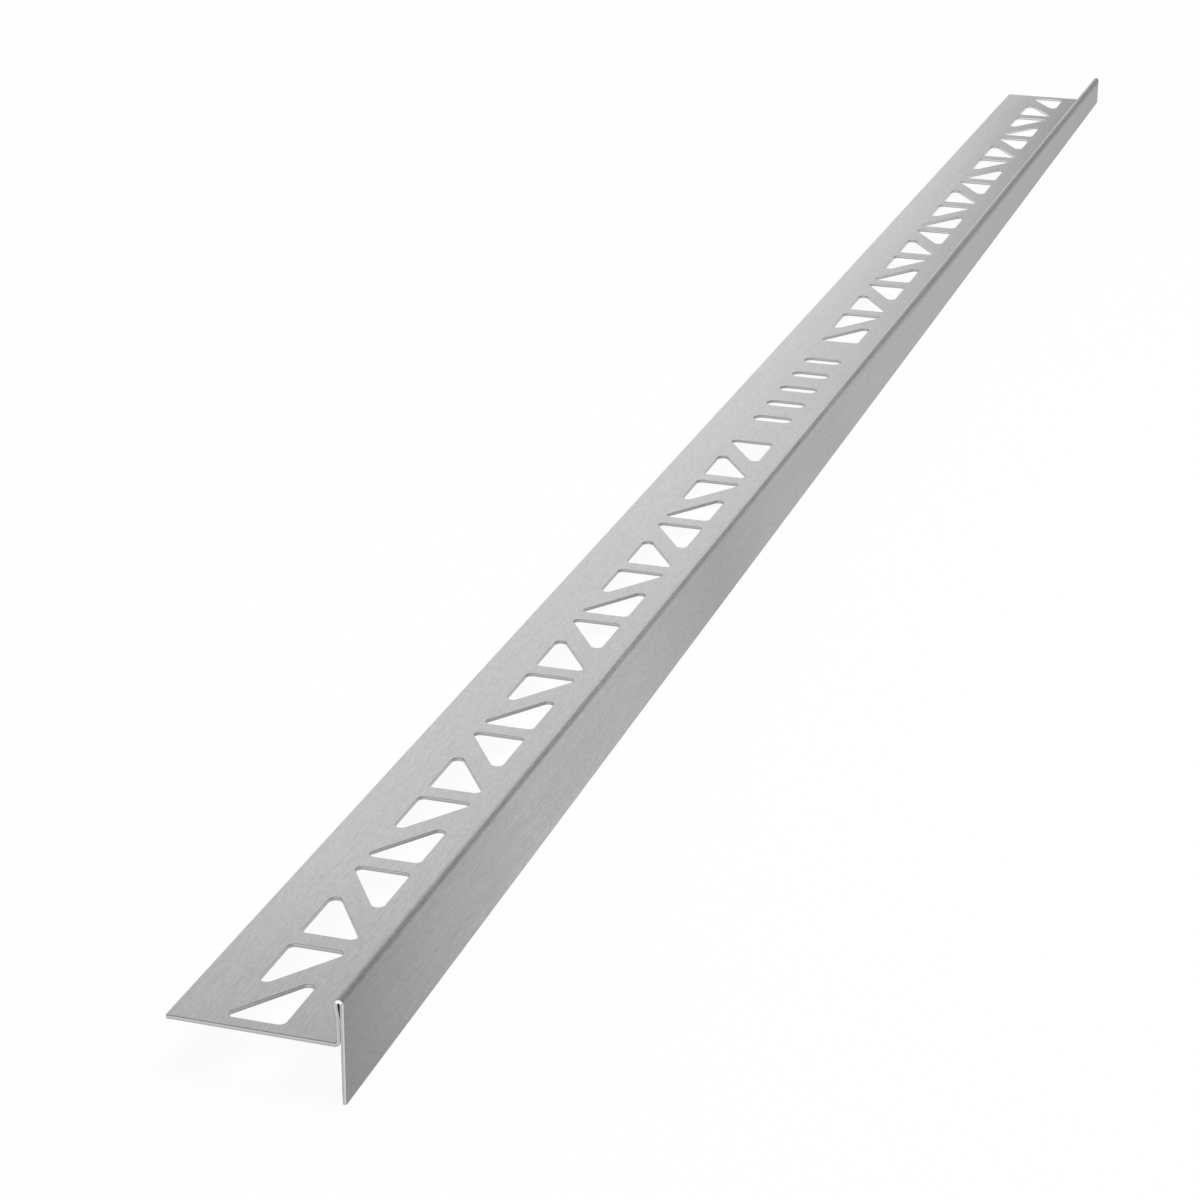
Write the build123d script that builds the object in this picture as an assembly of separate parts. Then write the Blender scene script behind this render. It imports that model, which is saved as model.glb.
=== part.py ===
from build123d import *
from math import atan, cos, degrees, radians, sin
import os

# A wedge profile for the side of a sloped shower floor, made from one strip of stainless sheet.
# The strip is punched, folded up at the end of its flat anchoring leg, folded back over itself
# into a teardrop hem, and let down as a visible face whose lower edge is cut to the floor's fall.
# Millimetres, +Z up. X runs along the strip from its deep end (-X) to its shallow end (+X), the
# visible face looks towards -Y, and the leg's free edge lies on the +Y side.

# The strip
length = 1000.0
sheet_thickness = 1.0
leg_width = 45.0
tile_height = 12.5
fall = 0.015
leg_corner_radius = 0.5
face_corner_radius = 0.4

# The folds
leg_bend_radius = 0.6
hem_inner_radius = 0.3
hem_lean = 8.0
hem_return_radius = 1.5
seam_gap = 0.05

# The punched triangles, two of them to a pair, the second turned half round
hole_length = 20.0
hole_width = 14.5
hole_corner_radius = 1.8
pair_length = 38.0
pair_web = 6.0
end_web = 4.0
edge_web = 13.7
plain_middle = 120.0

# The plain slots in the middle of the leg
slot_length = 14.0
slot_width = 6.0
slot_pitch = 18.0
slot_count = 5

# What follows from those sizes
free_edge_y = leg_width / 2
face_y = -leg_width / 2
stop_y = face_y + 2 * sheet_thickness + seam_gap
hem_outer_radius = hem_inner_radius + sheet_thickness
band_y = free_edge_y - edge_web - hole_width / 2
outer_pair_x = length / 2 - end_web - pair_length / 2
pair_pitch = pair_length + pair_web
pairs_each_side = int((length / 2 - end_web - plain_middle / 2 + pair_web) // pair_pitch)


def skin_line():
    """The side of the sheet that stays in view, as one line across the strip.

    It runs along the leg's top, up the upstand that the tile meets, round the hem and down the
    visible face. The sheet lies to its left all the way.
    """
    lean = radians(hem_lean)
    hem_centre = (face_y + hem_outer_radius, tile_height - hem_outer_radius)
    hem_start_y = hem_centre[0] + hem_outer_radius * cos(lean)
    hem_start_z = hem_centre[1] - hem_outer_radius * sin(lean)
    swell_y = stop_y + hem_return_radius * (1 - cos(lean))
    lean_length = (hem_start_y - swell_y) / sin(lean)
    swell_z = hem_start_z - lean_length * cos(lean) - hem_return_radius * sin(lean)
    with BuildLine() as skin:
        top = Line((free_edge_y, sheet_thickness), (stop_y + leg_bend_radius, sheet_thickness))
        bend = JernArc(top @ 1, top % 1, leg_bend_radius, -90)
        stop = Line(bend @ 1, (stop_y, swell_z))
        swell = JernArc(stop @ 1, stop % 1, hem_return_radius, -hem_lean)
        rise = PolarLine(swell @ 1, lean_length, direction=swell % 1)
        hem = JernArc(rise @ 1, rise % 1, hem_outer_radius, 180 + hem_lean)
        Line(hem @ 1, (face_y, -fall * length))
    return skin.wire()


def folded_strip():
    """The skin line thickened to the sheet and run along the strip's length."""
    outline = skin_line().offset_2d(sheet_thickness, side=Side.LEFT)
    return extrude(Plane.YZ * make_face(outline), amount=length / 2, both=True)


def cut_to_fall(strip):
    """The strip with its face cut off along the fall, which meets the leg at the shallow end."""
    shallow_corner = Vector(length / 2, 0, 0)
    down_the_face = Vector(-length, 0, -fall * length)
    square_to_fall = down_the_face.cross(Vector(0, -1, 0))
    return split(strip, bisect_by=Plane(shallow_corner, x_dir=down_the_face, z_dir=square_to_fall))


def punched_triangle():
    """One hole: a right-angled triangle with round corners, its right angle at the origin."""
    inset = hole_corner_radius
    with BuildSketch() as punch:
        with Locations((inset, inset), (hole_length - inset, inset), (inset, hole_width - inset)):
            Circle(hole_corner_radius)
        make_hull()
    return punch.sketch


def triangle_pair(turned_over):
    """Two triangles back to back, centred; every other pair along the leg is turned over."""
    first = Pos(-pair_length / 2, -hole_width / 2) * punched_triangle()
    pair = Sketch() + [first, first.rotate(Axis.Z, 180)]
    return mirror(pair, about=Plane.XZ) if turned_over else pair


def hole_pattern():
    """Every hole in the leg: a run of pairs from each end and the slots between the two runs."""
    holes = []
    for index in range(pairs_each_side):
        x = index * pair_pitch - outer_pair_x
        holes.append(Pos(x, band_y) * triangle_pair(index % 2 == 1))
        holes.append(Pos(-x, band_y) * triangle_pair(index % 2 == 0))
    for place in GridLocations(slot_pitch, 0, slot_count, 1):
        holes.append(Pos(0, band_y) * place * SlotOverall(slot_length, slot_width, rotation=90))
    return Sketch() + holes


def round_corners(strip):
    """The free corners of the leg and the lower corners of the face, taken off."""
    leg_corners = strip.edges().filter_by(Axis.Z).group_by(Axis.Y)[-1]
    strip = fillet(leg_corners, leg_corner_radius)
    face_corners = strip.edges().filter_by(Axis.Y).group_by(Axis.Y)[0]
    return fillet(face_corners, face_corner_radius)


def at_rest(strip):
    """The profile lying by itself: level on the cut edge of its face, its leg on the fall."""
    lying = strip.rotate(Axis.Y, degrees(atan(fall)))
    box = lying.bounding_box()
    return Pos(-box.center().X, -box.center().Y, -box.min.Z) * lying


profile = round_corners(cut_to_fall(folded_strip()))
profile -= extrude(hole_pattern(), amount=sheet_thickness)
profile = at_rest(profile)

os.makedirs("parts", exist_ok=True)
export_step(profile, "parts/wedge_profile.step")
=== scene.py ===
# %% [markdown]
# # A wedge profile for a sloped shower floor, dressed in brushed stainless steel
#
# The real object is one strip of stainless sheet. It is brushed along its length while it is still
# flat, punched with triangles, folded into a flat leg and a hemmed upright face, and cut along its
# lower edge to the fall of the floor. The model of the metal is ready when this lesson starts. What
# is left for Blender is what makes it look like steel: broken edges, the grain of the brush, the
# bright cuts of the shears, and a studio whose light the metal can mirror.
#
# The frame brings the model in, in metres, where it lies on a level floor. X runs along the strip
# from its deep end to its shallow end, the visible face looks towards -Y, and Z is up.

# %% The frame
from math import atan, radians

import bmesh
import bpy
import numpy as np
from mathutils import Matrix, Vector


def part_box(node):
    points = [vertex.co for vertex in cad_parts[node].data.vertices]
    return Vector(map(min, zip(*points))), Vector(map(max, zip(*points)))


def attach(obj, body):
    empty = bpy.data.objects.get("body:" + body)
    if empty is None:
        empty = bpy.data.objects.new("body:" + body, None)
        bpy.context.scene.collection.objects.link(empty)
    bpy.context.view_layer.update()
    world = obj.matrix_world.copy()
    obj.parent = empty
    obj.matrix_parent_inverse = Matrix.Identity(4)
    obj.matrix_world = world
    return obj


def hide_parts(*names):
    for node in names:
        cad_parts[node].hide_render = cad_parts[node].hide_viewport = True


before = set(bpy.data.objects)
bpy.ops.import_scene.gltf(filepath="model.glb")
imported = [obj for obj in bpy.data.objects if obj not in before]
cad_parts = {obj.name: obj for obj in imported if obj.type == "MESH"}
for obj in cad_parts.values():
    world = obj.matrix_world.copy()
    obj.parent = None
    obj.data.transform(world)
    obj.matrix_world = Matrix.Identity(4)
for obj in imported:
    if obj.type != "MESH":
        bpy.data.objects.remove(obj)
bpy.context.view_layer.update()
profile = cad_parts["wedge_profile"]
low, high = (np.array(corner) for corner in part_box("wedge_profile"))
print("nodes:", sorted(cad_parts))
print("box in mm:", np.round(low * 1000, 2), np.round(high * 1000, 2))

# %% [markdown]
# ## Sizes that the finish needs
#
# The strip lies on the cut edge of its face, so its leg runs downhill by the fall. Everything that
# follows the sheet, such as the brush marks, has to be turned by that small angle. The sizes of the
# folds are needed once, to tell the sheet's front from its back. All of them are in metres.

# %% Sizes
fall = 0.015
lean = atan(fall)
underside_middle = 0.5 * fall
sheet = 0.0010
tile_height = 0.0125
leg_bend_radius = 0.0006
hem_inner_radius = 0.0003
seam_gap = 0.00005

face_front = low[1]
face_back = face_front + sheet
stop = face_back + sheet + seam_gap
hem_y, hem_z = face_back + hem_inner_radius, tile_height - sheet - hem_inner_radius
bend_y, bend_z = stop + leg_bend_radius, sheet + leg_bend_radius
print(f"the leg runs down {np.degrees(lean):.3f} degrees, the tile meets y = {stop * 1000:.2f} mm")

# %% [markdown]
# ## The strip, merged
#
# A model of metal comes as loose triangles. Merged, with its flat areas joined into whole faces, it
# has true edges again, and an edge is what the next step works on. The two end walls are split
# again at once, straight across the sheet, because a later step needs each of their triangles to
# reach from the sheet's front to its back. The work is done on a copy. The copy takes the place of
# the model's own mesh in the picture.

# %% Merge a copy
strip = bpy.data.objects.new("folded_strip", profile.data.copy())
bpy.context.scene.collection.objects.link(strip)
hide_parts("wedge_profile")
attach(strip, "root")

same_point = 1e-6
same_plane = radians(0.2)
sharp_angle = radians(30)
faces_an_end = 0.9
work = bmesh.new()
work.from_mesh(strip.data)
bmesh.ops.remove_doubles(work, verts=work.verts, dist=same_point)
bmesh.ops.dissolve_limit(work, verts=work.verts, edges=work.edges, angle_limit=same_plane)
end_walls = [face for face in work.faces
             if abs(face.normal.x) > faces_an_end and len(face.verts) > 4]
bmesh.ops.triangulate(work, faces=end_walls, ngon_method="BEAUTY")
sharp = np.array([edge.calc_face_angle(0.0) > sharp_angle for edge in work.edges])
open_edges = sum(not edge.is_manifold for edge in work.edges)
work.to_mesh(strip.data)
work.free()
print(f"{len(strip.data.vertices)} points, {len(strip.data.polygons)} faces, "
      f"{int(sharp.sum())} sharp edges, {open_edges} open edges")

# %% [markdown]
# ## Front and back of the sheet
#
# One number at each point says how deep in the sheet it lies: 0 on the brushed front, 1 on the
# back. Every point of the model is on one or the other, so on a cut wall, which runs from front to
# back, the number climbs evenly from 0 to 1. That is all the material needs to know where a cut is
# and where in the cut it is. The back is easily told: it is the leg's underside, the outside of the
# lower bend, the two faces that meet in the seam, and the inside of the hem.

# %% How deep in the sheet
def leg_level(points):
    """Points turned about Y so that the leg is level, with its underside at height 0."""
    x, y, z = points.T
    c, s = np.cos(lean), np.sin(lean)
    return x * c - z * s, y, x * s + z * c - underside_middle


hair = 0.00003
points = np.empty(len(strip.data.vertices) * 3)
strip.data.vertices.foreach_get("co", points)
points = points.reshape(-1, 3)
x, y, z = leg_level(points)
underside = np.abs(z) < hair
outside_bend = (y < bend_y + hair) & (z < bend_z + hair)
outside_bend &= np.abs(np.hypot(y - bend_y, z - bend_z) - leg_bend_radius - sheet) < hair
seam = (np.abs(y - face_back) < 4 * hair) & (z < hem_z + hair)
inside_hem = np.hypot(y - hem_y, z - hem_z) < hem_inner_radius + hair
back = (underside & (y > stop)) | outside_bend | seam | inside_hem
depth_values = strip.data.attributes.new("depth_in_sheet", "FLOAT", "POINT")
depth_values.data.foreach_set("value", back.astype(np.float32))
print(f"{int(back.sum())} points on the back of the sheet, {int((~back).sum())} on its front")

# %% [markdown]
# ## Broken edges
#
# A drawn edge is perfectly sharp and a real one never is. The shears draw the sheet's front down
# before they cut it, which leaves a round of a quarter of a millimetre there. The punch, which
# fits its die closely, leaves half of that round the holes. On the back the cut ends in a crisp
# edge that is only deburred. The face's lower edge is the exception: it is rounded on both sides,
# so that it doesn't cut the hand. Such a round could be faked in the shading. Here it is modelled
# with a Bevel modifier, because it then holds up from every side, and each edge's weight says
# which of the three rounds it gets.

# %% Which edge gets which round
sheared, punched, deburred = 0.00028, 0.00014, 0.00003
inside_outline = 0.001
foot_height = 0.0005
ends = np.empty(len(strip.data.edges) * 2, dtype=np.int32)
strip.data.edges.foreach_get("vertices", ends)
in_a_hole = np.abs(x) < x.max() - inside_outline
in_a_hole &= (y > stop + inside_outline) & (y < y.max() - inside_outline)
face_foot = (y < face_back + seam_gap / 2) & (points[:, 2] < foot_height)
width = np.where(back & ~face_foot, deburred, np.where(in_a_hole, punched, sheared))
weight = sharp * width[ends.reshape(-1, 2)].min(axis=1) / sheared
weight_values = strip.data.attributes.new("bevel_weight_edge", "FLOAT", "EDGE")
weight_values.data.foreach_set("value", weight.astype(np.float32))
print(f"{int((weight > 0).sum())} edges get a round")

# %% Round the edges
bevel = strip.modifiers.new("broken_edges", "BEVEL")
bevel.width = sheared
bevel.segments = 3
bevel.limit_method = "WEIGHT"
bevel.use_clamp_overlap = False
bevel.loop_slide = False
flats = strip.modifiers.new("flats_stay_flat", "WEIGHTED_NORMAL")
flats.mode = "FACE_AREA"
flats.weight = 100
strip.data.polygons.foreach_set("use_smooth", np.ones(len(strip.data.polygons), dtype=bool))
strip.data.materials.clear()

finished = strip.evaluated_get(bpy.context.evaluated_depsgraph_get())
shape = finished.to_mesh()
shape.calc_loop_triangles()
print(f"with its edges rounded: {len(shape.vertices)} points, "
      f"{len(shape.loop_triangles)} triangles")
finished.to_mesh_clear()

# %% [markdown]
# ## A short way to write shader maths
#
# A material is a small program, and it reads best as one. This class wraps one socket of a node
# tree. The signs of arithmetic add Math nodes, so `1 - mask` is a shader expression, and `node`
# adds any other node from its type, its settings and the values or links of its inputs.

# %% The socket class
class Wire:
    """One output socket in a node tree, with Python's signs for arithmetic."""

    def __init__(self, tree, socket=None):
        self.tree, self.socket = tree, socket

    def node(self, kind, settings=None, inputs=None, output=0):
        """Adds a node. Settings come first, then each input gets its value or its link."""
        made = self.tree.nodes.new("ShaderNode" + kind)
        for name, value in (settings or {}).items():
            if name == "stops":
                set_stops(made.color_ramp, value)
            else:
                setattr(made, name, value)
        for name, value in (inputs or {}).items():
            if isinstance(value, Wire):
                self.tree.links.new(value.socket, made.inputs[name])
            else:
                made.inputs[name].default_value = value
        return Wire(self.tree, made.outputs[output] if made.outputs else None)

    def math(self, operation, *values):
        return self.node("Math", {"operation": operation}, dict(enumerate((self, *values))))

    def __add__(self, other):
        return self.math("ADD", other)

    def __sub__(self, other):
        return self.math("SUBTRACT", other)

    def __mul__(self, other):
        return self.math("MULTIPLY", other)

    def __rsub__(self, other):
        return self * -1 + other

    __radd__ = __add__
    __rmul__ = __mul__

    def climb(self, lowest, highest):
        """0 up to lowest, 1 from highest on, and straight between them."""
        return self.node("MapRange", {"clamp": True},
                         {"Value": self, "From Min": lowest, "From Max": highest})

    def ramp(self, stops):
        """The grey that the stops give at this value, each stop a place and a grey."""
        return self.node("ValToRGB", {"stops": stops}, {"Fac": self})


def set_stops(ramp, stops):
    """Gives a colour ramp its stops."""
    while len(ramp.elements) < len(stops):
        ramp.elements.new(1.0)
    for element, (place, grey) in zip(ramp.elements, stops):
        element.position = place
        element.color = (grey, grey, grey, 1.0)


def new_tree(owner):
    """An empty node tree of a material or world, and a Wire to start from."""
    owner.use_nodes = True
    owner.node_tree.nodes.clear()
    return Wire(owner.node_tree)


print("shader maths ready")

# %% [markdown]
# ## The grain of the brush
#
# A brushed finish is made by a belt of fine grit that runs along the strip. It leaves countless
# shallow scratches, each a few tenths of a millimetre wide and some millimetres long, longer lines
# among them, and now and then a soft broad streak where the belt pressed harder. One noise that is
# stretched along the strip gives all three, at three sizes. Its place is turned by the fall, so
# that the marks run with the sheet and not with the floor.

# %% Three sizes of brush mark
steel = bpy.data.materials.new("brushed_stainless")
start = new_tree(steel)
surface = start.node("TexCoord", output="Object")
on_sheet = start.node("Mapping", inputs={"Vector": surface, "Rotation": (0.0, -lean, 0.0)})


def brush_marks(length, width, detail):
    """Noise about zero, drawn out along the strip to marks of that length and width."""
    drawn_out = {"Vector": on_sheet, "Scale": (1 / length, 1 / width, 1 / width)}
    noise = {"Vector": start.node("Mapping", inputs=drawn_out), "Scale": 1.0, "Detail": detail}
    return start.node("TexNoise", inputs=noise) - 0.5


scratches = brush_marks(0.0025, 0.00022, 2.0)
lines = brush_marks(0.0140, 0.00080, 2.0)
streaks = brush_marks(0.1200, 0.00500, 1.0)
print("marks of 2.5, 14 and 120 mm")

# %% [markdown]
# ## Where on the strip
#
# The tone of the steel changes slowly over the strip, so the material first needs to know where it
# is. Five numbers say so: how far along the strip, from 0 at the deep end to 1 at the shallow end,
# how far across it, how high above the leg's underside, whether this is the leg or the face, and
# how far out on the leg, from 0 at the fold to 1 at the leg's free edge.

# %% Places on the strip
along = start.node("SeparateXYZ", inputs={"Vector": surface}).climb(float(low[0]), float(high[0]))
across = start.node("SeparateXYZ", inputs={"Vector": surface}, output="Y")
height = start.node("SeparateXYZ", inputs={"Vector": on_sheet}, output="Z") - underside_middle
blend = 0.0002
on_leg = across.climb(float(stop) + blend, float(bend_y))
from_fold = across.climb(float(stop), float(high[1]))
print(f"leg from y = {bend_y * 1000:.2f} to {high[1] * 1000:.2f} mm")

# %% [markdown]
# ## Painted light and shade along the strip
#
# The tone of the steel changes slowly over the strip, painted to follow how its reflections
# brighten and darken. The leg gets lighter and darker stretches along its length, and painted shade
# next to the fold that deepens towards the shallow end. The face gets painted shade at the deep end
# and lighter and darker stretches after it, the crest is painted a little darker at the deep end,
# and in the shallow half a band of painted shade runs just under the crest. All of these are slow
# changes, so a few numbers along the strip describe each of them.

# %% Painted light and shade along the strip
# Painted light and shade: the leg's reflection is made lighter and darker along the strip.
leg_painted_light = along.ramp([(0.0, 0.91), (0.09, 0.98), (0.20, 0.93), (0.80, 0.99), (0.95, 0.88)])
# Painted shade on the leg next to the fold, deepest towards the shallow end.
painted_fold_shade = along.ramp([(0.0, 0.14), (0.30, 0.10), (0.45, 0.13), (0.70, 0.37), (0.96, 0.49)])
# Painted light and shade on the face along the strip, darkest at the deep end.
face_painted_light = along.ramp([(0.0, 0.40), (0.05, 0.56), (0.13, 0.74), (0.22, 0.71), (0.31, 0.55),
                        (0.38, 0.66), (0.70, 0.61), (1.0, 0.50)])
crest = height.climb(tile_height - 0.0012, tile_height - 0.0007)
# Painted shade on the crest at the deep end.
crest_painted_light = along.ramp([(0.0, 0.80), (0.08, 1.0)])
# Painted shade: a band just under the crest, darker in the shallow half.
band_start = height.climb(tile_height - 0.0034, tile_height - 0.0020)
band_end = height.climb(tile_height - 0.0009, tile_height - 0.0003)
painted_band_shade = 0.43
crest_band_painted_shade = 1 - painted_band_shade * (band_start - band_end) * along.climb(0.45, 0.62)
# All the painted light and shade of the skin together, on the leg and on the face.
skin_painted_light = (on_leg * leg_painted_light * (1 - painted_fold_shade * (1 - from_fold))
             + (1 - on_leg) * (crest * crest_painted_light + (1 - crest) * face_painted_light) * crest_band_painted_shade)
print(f"the band under the crest is duller by {painted_band_shade:.0%}")

# %% [markdown]
# ## The cut through the sheet
#
# A cut wall isn't brushed. From the front it begins with the dark round that the tool drew in, goes
# on as a bright burnished band, and ends as a duller one where the metal tore. The depth in the
# sheet places these bands, and fine lines run through them from front to back. The punched walls
# are a little duller than the two sheared ends. In the shallow half, where they lie close over the
# floor, they get a painted reflection of the pale floor that lightens them, and end below in a thin
# dark line. At the ends a painted highlight sits on the pressed-together crest, where the cut takes
# the full colour of a mirror.

# %% Bands of the cut
depth = start.node("Attribute", {"attribute_name": "depth_in_sheet"}, output="Fac")
# The depth times its rest is 0 on both skins of the sheet and more than 0 only between them.
cut = (depth * (1 - depth)).climb(0.02, 0.06)
bands = depth.ramp([(0.02, 0.60), (0.09, 1.0), (0.38, 0.98), (0.50, 0.70), (0.62, 0.77),
                    (1.0, 0.71)])
stretched = {"Vector": surface, "Scale": (5000.0, 5000.0, 500.0)}
fine_lines = {"Vector": start.node("Mapping", inputs=stretched), "Scale": 1.0, "Detail": 1.0}
shear_lines = start.node("TexNoise", inputs=fine_lines) - 0.5
print("burnished to half the depth, with a line every 0.2 mm")

# %% Tone of the cut
# In the same way, this product is 0 only at the two sheared ends.
in_hole = (along * (1 - along)).climb(0.0005, 0.0010)
shallow = along.climb(0.45, 1.0)
end_tone, hole_duller, painted_floor_reflection, dark_line = 0.65, 0.08, 0.36, 0.40
# Painted reflection: in the shallow half the punched walls are lightened as if they mirrored the
# pale floor, less so towards the back of the sheet, where they end in a thin dark line.
painted_wall_light = painted_floor_reflection - dark_line * depth.climb(0.60, 0.80)
wall_tone = end_tone - in_hole * (hole_duller - shallow * painted_wall_light)

# A painted highlight: a round spot on the crest at each end takes the full colour of a mirror.
highlight_z, highlight_radius = tile_height - 0.0006, 0.00075
off_y, off_z = across - float(hem_y), height - highlight_z
off_centre = off_y * off_y + off_z * off_z
painted_crest_highlight = 1 - off_centre.climb((0.8 * highlight_radius) ** 2, (1.2 * highlight_radius) ** 2)
line_strength = 0.25
wall = bands * (1 + line_strength * shear_lines) * wall_tone * (1 - painted_crest_highlight) + painted_crest_highlight
print(f"cut walls at {end_tone}, in the holes at {end_tone - hole_duller:.2f}")

# %% [markdown]
# ## Brushed stainless steel
#
# Steel has no colour of its own apart from what it mirrors, so all of this goes into small changes
# of its base colour and roughness, and a bump that tilts the surface across the grain. Only the
# front is brushed. The back keeps the paler, smoother finish of the mill. The leg, the crest and
# the punched walls of the deep half are a trace warmer than the face, and the outside of the crest
# is rougher, because the fold has opened the grain there.

# %% Colour of the steel
brushed_tone, mill_tone = 0.567, 0.72
scratch_share, line_share, streak_share = 0.60, 0.30, 0.26
face_marks = 1.3
marks = scratch_share * scratches + line_share * lines + streak_share * streaks
marks = marks * (face_marks - (face_marks - 1) * on_leg)
# The brushed front's colour carries the painted light and shade along the strip.
skin = brushed_tone * skin_painted_light * (1 + marks)
on_back = depth.climb(0.97, 0.99)
tone = cut * wall + (1 - cut) * (on_back * mill_tone + (1 - on_back) * skin)
cool, warmer_leg, warmer_crest, warmer_wall = 1.025, 0.025, 0.03, 0.05
blue = tone * (cool - warmer_leg * on_leg - warmer_crest * crest
               - warmer_wall * cut * in_hole * (1 - shallow))
colour = start.node("CombineColor", inputs={"Red": tone, "Green": tone, "Blue": blue})
print(f"brushed front {brushed_tone}, mill finish {mill_tone}")

# %% Put the steel together
smooth, brushed_rougher, grain_rougher, opened_rougher = 0.32, 0.04, 0.10, 0.26
opened = crest * (1 - across.climb(float(hem_y), float(hem_y) + blend))
brushed = (1 - cut) * (1 - on_back)
roughness = smooth + brushed * (brushed_rougher + grain_rougher * lines + grain_rougher * streaks
                                + opened_rougher * opened)
relief = brushed * scratches + cut * shear_lines
bump = start.node("Bump", inputs={"Strength": 0.35, "Distance": 0.00002, "Height": relief})
metal = start.node("BsdfPrincipled", inputs={
    "Base Color": colour, "Metallic": 1.0, "Roughness": roughness, "Normal": bump})
start.node("OutputMaterial", inputs={"Surface": metal})
strip.data.materials.append(steel)
print(len(steel.node_tree.nodes), "nodes in the steel")

# %% [markdown]
# ## The floor
#
# The profile lies on a plain pale floor. A floor lit until it is white would need light that also
# burns out the steel, so the camera sees it as white, and so does the steel, while a share of real
# shading is kept in both, so that the shadow of the profile stays on it. That share matters to the
# metal: the face looks down at the floor and takes its tone from there.

# %% A pale floor
floor_half = 12.0
floor_mesh = bpy.data.meshes.new("floor")
floor_mesh.from_pydata([(-floor_half, -floor_half, 0), (floor_half, -floor_half, 0),
                        (floor_half, floor_half, 0), (-floor_half, floor_half, 0)],
                       [], [(0, 1, 2, 3)])
floor = bpy.data.objects.new("floor", floor_mesh)
bpy.context.scene.collection.objects.link(floor)

paper = bpy.data.materials.new("pale_floor")
paper_start = new_tree(paper)
camera_share, mirror_share = 0.93, 0.85
pale = (0.86, 0.86, 0.86, 1.0)
white = (1.0, 1.0, 1.0, 1.0)
seen_by_camera = paper_start.node("LightPath", output="Is Camera Ray")
seen_in_metal = paper_start.node("LightPath", output="Is Glossy Ray")
seen_through = paper_start.node("LightPath", output="Is Transmission Ray")
white_share = camera_share * seen_by_camera + mirror_share * (seen_in_metal + seen_through)
shaded = paper_start.node("BsdfDiffuse", inputs={"Color": pale})
plain_white = paper_start.node("Emission", inputs={"Color": white, "Strength": 1.0})
paper_start.node("OutputMaterial", inputs={
    "Surface": paper_start.node("MixShader", inputs={0: white_share, 1: shaded, 2: plain_white})})
floor_mesh.materials.append(paper)
print("floor of", 2 * floor_half, "m")

# %% [markdown]
# ## The room
#
# Steel shows its surroundings, so lighting it means building them. The room is brightest behind the
# strip's far end, on the side of the leg, and a soft lamp there is what the leg mirrors. It is
# darkest overhead, which gives every rounded edge its thin dark line, and pale again behind the
# camera, so that the strip also shows well from its other side. The floor gets a lamp of its own
# from above, kept out of the metal's reflections, where it would burn out those edges.

# %% The room's greys
world = bpy.data.worlds.new("studio")
bpy.context.scene.world = world
room_start = new_tree(world)
bright_side = Vector((0.87, 0.39, 0.31)).normalized()
direction = room_start.node("TexCoord", output="Generated")
facing = room_start.node("VectorMath", {"operation": "DOT_PRODUCT"},
                         {0: direction, 1: bright_side}, output="Value")
room_grey = (facing * 0.5 + 0.5).ramp([(0.0, 0.74), (0.22, 0.66), (0.42, 0.35), (0.68, 0.35),
                                       (0.80, 0.42), (0.97, 0.66), (1.0, 0.72)])
room_start.node("OutputWorld", inputs={
    "Surface": room_start.node("Background", inputs={"Color": room_grey})})
print("brightest towards", tuple(round(v, 2) for v in bright_side))


# %% Lamps
def soft_lamp(name, place, width, height, power):
    """A rectangular lamp that shines at the middle of the strip and that the camera doesn't see."""
    light = bpy.data.lights.new(name, "AREA")
    light.shape, light.size, light.size_y, light.energy = "RECTANGLE", width, height, power
    lamp = bpy.data.objects.new(name, light)
    lamp.location = place
    lamp.rotation_euler = (-Vector(place)).to_track_quat("-Z", "Y").to_euler()
    lamp.visible_camera = False
    bpy.context.scene.collection.objects.link(lamp)
    return lamp


leg_lamp = soft_lamp("leg_lamp", (2.2, 0.75, 1.08), 1.2, 1.1, 2.6)
floor_lamp = soft_lamp("floor_lamp", (-0.2, -0.5, 1.9), 1.5, 1.0, 28.0)
floor_lamp.visible_glossy = False
print("lamps:", leg_lamp.name, floor_lamp.name)

# %% [markdown]
# ## The camera
#
# The strip is seen from beyond its deep end and a little to the side of its face, through a long
# lens. Its place and aim come from fitting the model's outline and holes to the picture.

# %% The camera
lens_camera = bpy.data.cameras.new("camera")
lens_camera.lens, lens_camera.sensor_width = 96.789, 36.0
lens_camera.clip_start, lens_camera.clip_end = 0.05, 60.0
camera = bpy.data.objects.new("camera", lens_camera)
camera.location = (-1.09175, -0.27550, 0.39361)
look = Vector((0.87797, 0.28441, -0.38508))
camera.rotation_euler = look.to_track_quat("-Z", "Y").to_euler()
bpy.context.scene.collection.objects.link(camera)
bpy.context.scene.camera = camera
bpy.context.scene.view_settings.view_transform = "Standard"
print("camera at", tuple(round(v, 4) for v in camera.location))
